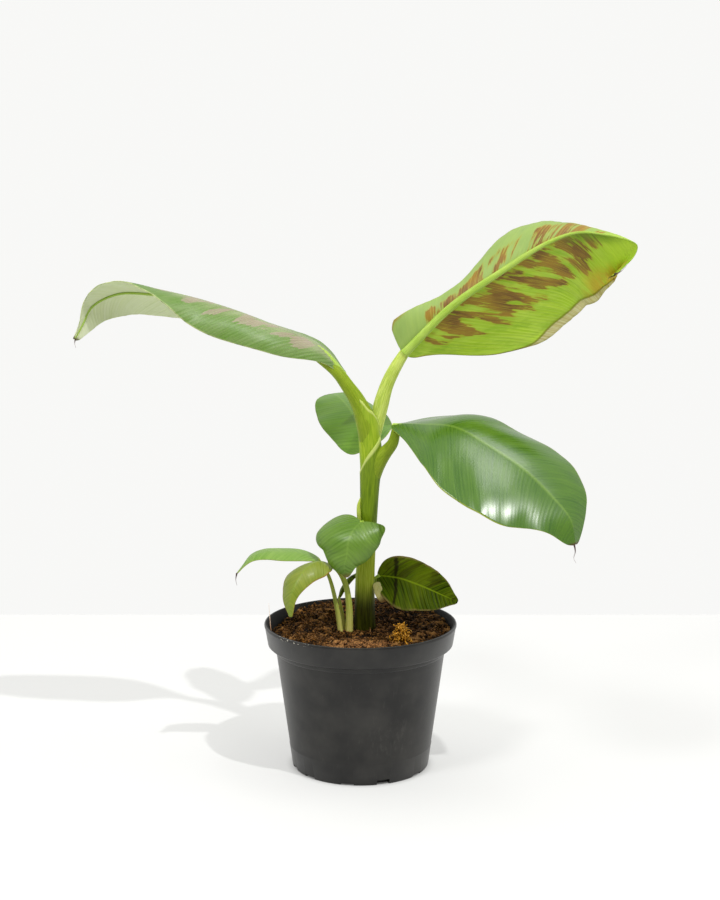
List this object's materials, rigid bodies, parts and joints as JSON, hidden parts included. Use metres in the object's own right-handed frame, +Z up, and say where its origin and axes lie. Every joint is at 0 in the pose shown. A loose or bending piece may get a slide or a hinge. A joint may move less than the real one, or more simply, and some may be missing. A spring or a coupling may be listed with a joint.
{
  "type": "potted banana plant",
  "caption": "Young banana plant with a leaning pseudostem, four large arching leaves and a cluster of small leaves and suckers at its foot, growing in potting mix in a round tapered nursery pot.",
  "frame": {"origin": "centre of the pot's flat underside", "axes": "+Z up; -Y towards the front of the picture, where the pot's widest drainage notch shows; +X to the right"},
  "size_m": [0.4892, 0.2325, 0.4803],
  "materials": {
    "pot_plastic": "satin dark grey moulded plastic",
    "mix": "damp fibrous brown potting mix",
    "stem": "smooth yellow-green leaf sheaths and stalks",
    "leaf_light": "satin light green leaf",
    "leaf_green": "glossy mid-green leaf",
    "leaf_dark": "ageing dark olive leaf",
    "leaf_dry": "dried pale yellow leaf"
  },
  "bodies": {
    "root": {"pot": "pot_plastic", "potting_mix": "mix", "pseudostem": "stem", "petiole_left": "stem", "petiole_upper_right": "stem", "petiole_lower_right": "stem", "petiole_back": "stem", "sheath_tip": "stem", "petiole_heart": "stem", "petiole_old": "stem", "sucker_stem": "stem", "sucker_stem_thin": "stem", "sucker_stem_small": "stem", "leaf_upper_right": "leaf_light", "leaf_left": "leaf_light", "leaf_lower_right": "leaf_green", "leaf_back": "leaf_green", "leaf_heart": "leaf_green", "leaf_old": "leaf_dark", "leaf_sucker_front": "leaf_light", "leaf_sucker_left": "leaf_light", "leaf_sucker_small": "leaf_dark", "leaf_dried": "leaf_dry"}
  },
  "joints": []
}
